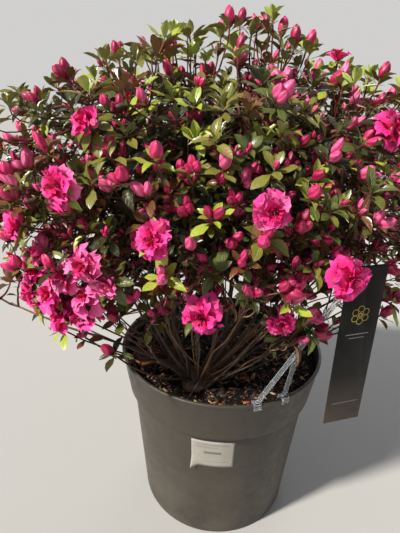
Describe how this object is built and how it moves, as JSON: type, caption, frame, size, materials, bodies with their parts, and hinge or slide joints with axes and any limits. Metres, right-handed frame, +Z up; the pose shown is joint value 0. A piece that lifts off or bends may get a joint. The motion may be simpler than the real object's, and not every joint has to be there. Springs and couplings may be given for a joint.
{
  "type": "potted azalea shrub",
  "caption": "Rounded evergreen azalea in bud and bloom, many thin stems rising from a woody stool in a tapered nursery pot with a deep collar, a blank label and a swing tag.",
  "frame": {"origin": "centre of the pot's flat underside", "axes": "+Z up; -Y is the side that faces the viewer, with the label; +X to the viewer's right, where the tag hangs"},
  "size_m": [0.9557, 0.7935, 1.1171],
  "materials": {
    "pot": "matte taupe moulded plastic, faintly streaked",
    "compost": "dark crumbly bark compost",
    "bark": "reddish to grey-brown bark",
    "foliage": "leathery leaves, semi-gloss",
    "petals": "soft magenta-pink petals",
    "label": "matte white sticker",
    "tag": "satin charcoal card",
    "clear_plastic": "clear moulded plastic"
  },
  "bodies": {
    "root": {"pot": "pot", "compost": "compost", "care_label": "label", "tag_holder": "clear_plastic", "swing_tag": "tag", "stool": "bark", "bough_low_front": "bark", "bough_low_front_right": "bark", "bough_low_right": "bark", "bough_low_back_right": "bark", "bough_low_back": "bark", "bough_low_back_left": "bark", "bough_low_left": "bark", "bough_low_front_left": "bark", "bough_high_front": "bark", "bough_high_right_front": "bark", "bough_high_right_back": "bark", "bough_high_back": "bark", "bough_high_left_back": "bark", "bough_high_left_front": "bark", "bough_crest_right": "bark", "bough_crest_left": "bark", "bough_side_left": "bark", "foliage_low_front": "foliage", "foliage_low_front_right": "foliage", "foliage_low_right": "foliage", "foliage_low_back_right": "foliage", "foliage_low_back": "foliage", "foliage_low_back_left": "foliage", "foliage_low_left": "foliage", "foliage_low_front_left": "foliage", "foliage_high_front": "foliage", "foliage_high_right_front": "foliage", "foliage_high_right_back": "foliage", "foliage_high_back": "foliage", "foliage_high_left_back": "foliage", "foliage_high_left_front": "foliage", "foliage_crest_right": "foliage", "foliage_crest_left": "foliage", "foliage_side_left": "foliage"}
  },
  "joints": []
}
